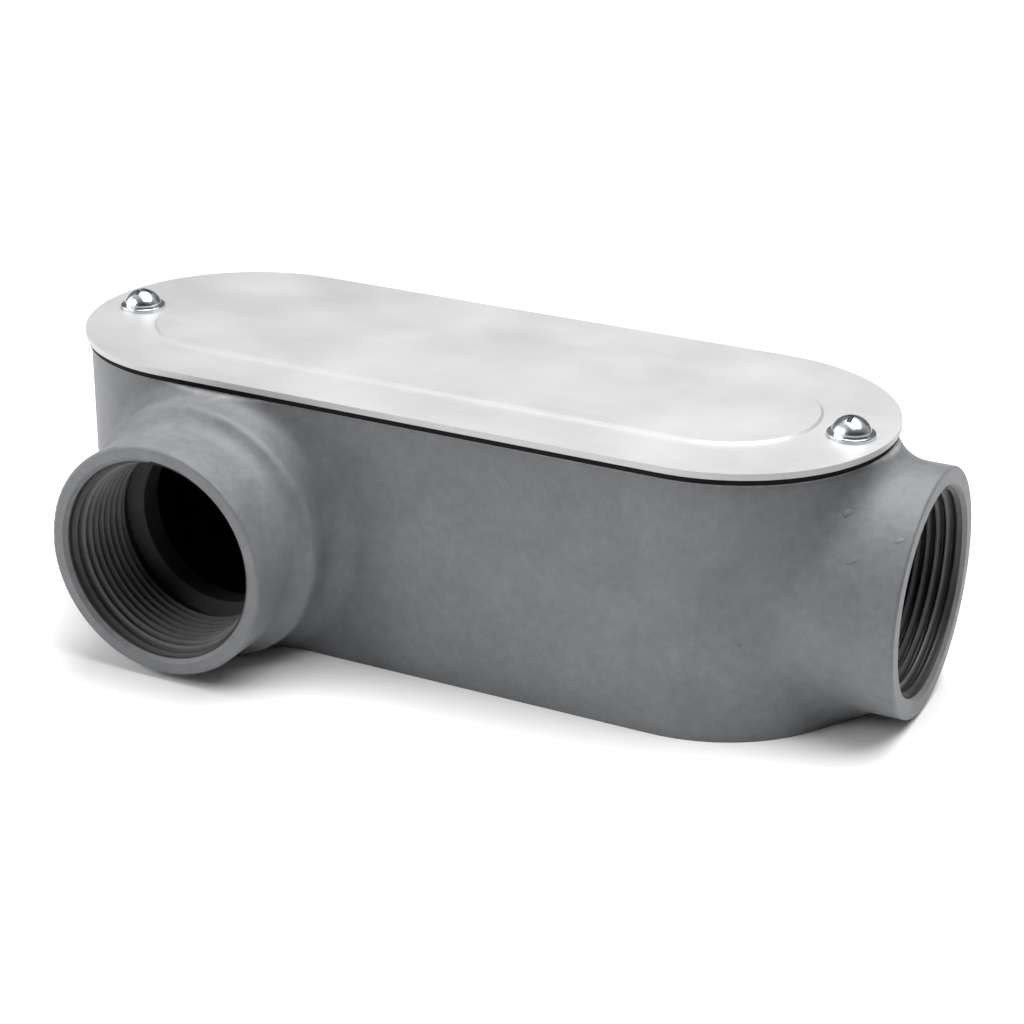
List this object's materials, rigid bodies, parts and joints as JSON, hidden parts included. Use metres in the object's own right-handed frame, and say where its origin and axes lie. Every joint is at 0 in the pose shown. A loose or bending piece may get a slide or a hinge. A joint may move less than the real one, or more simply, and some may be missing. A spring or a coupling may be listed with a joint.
{
  "type": "conduit body",
  "caption": "Right-hand elbow conduit body: hollow stadium casting with a threaded side hub and a threaded end hub, closed by a gasketed screw-on plate.",
  "frame": {"origin": "centre of the flat bottom face of the box, midway between its two round ends", "axes": "+X along the box towards the end hub, -Y out of the side hub, +Z out of the cover plate"},
  "size_m": [0.2171, 0.1063, 0.0694],
  "materials": {
    "painted_casting": "grey epoxy powder coat over a cast aluminium skin",
    "gasket_rubber": "matt black sheet",
    "cover_sheet": "satin pressed sheet",
    "zinc_steel": "bright zinc plate"
  },
  "bodies": {
    "housing": {"housing": "painted_casting"},
    "cover": {"cover": "cover_sheet", "gasket": "gasket_rubber"},
    "washer_left": {"washer_left": "zinc_steel"},
    "washer_right": {"washer_right": "zinc_steel"},
    "screw_left": {"screw_left": "zinc_steel"},
    "screw_right": {"screw_right": "zinc_steel"}
  },
  "joints": [
    {"name": "cover_lift", "type": "slide", "parent": "housing", "child": "cover", "axis": [0, 0, 1], "range_m": [0, 0.06]},
    {"name": "screw_left_rise", "type": "slide", "parent": "cover", "child": "washer_left", "axis": [0, 0, 1], "range_m": [0, 0.00555]},
    {"name": "screw_left_turn", "type": "hinge", "parent": "washer_left", "child": "screw_left", "pos_m": [-0.0918, -0.0032, 0.066], "axis": [0, 0, 1], "range_deg": [0, 2520]},
    {"name": "screw_right_rise", "type": "slide", "parent": "cover", "child": "washer_right", "axis": [0, 0, 1], "range_m": [0, 0.00555]},
    {"name": "screw_right_turn", "type": "hinge", "parent": "washer_right", "child": "screw_right", "pos_m": [0.0938, -0.0032, 0.066], "axis": [0, 0, 1], "range_deg": [0, 2520]}
  ],
  "couplings": [
    {"joint": "screw_left_turn", "follows": "screw_left_rise", "rad_per_m": 7915.8},
    {"joint": "screw_right_turn", "follows": "screw_right_rise", "rad_per_m": 7915.8}
  ]
}
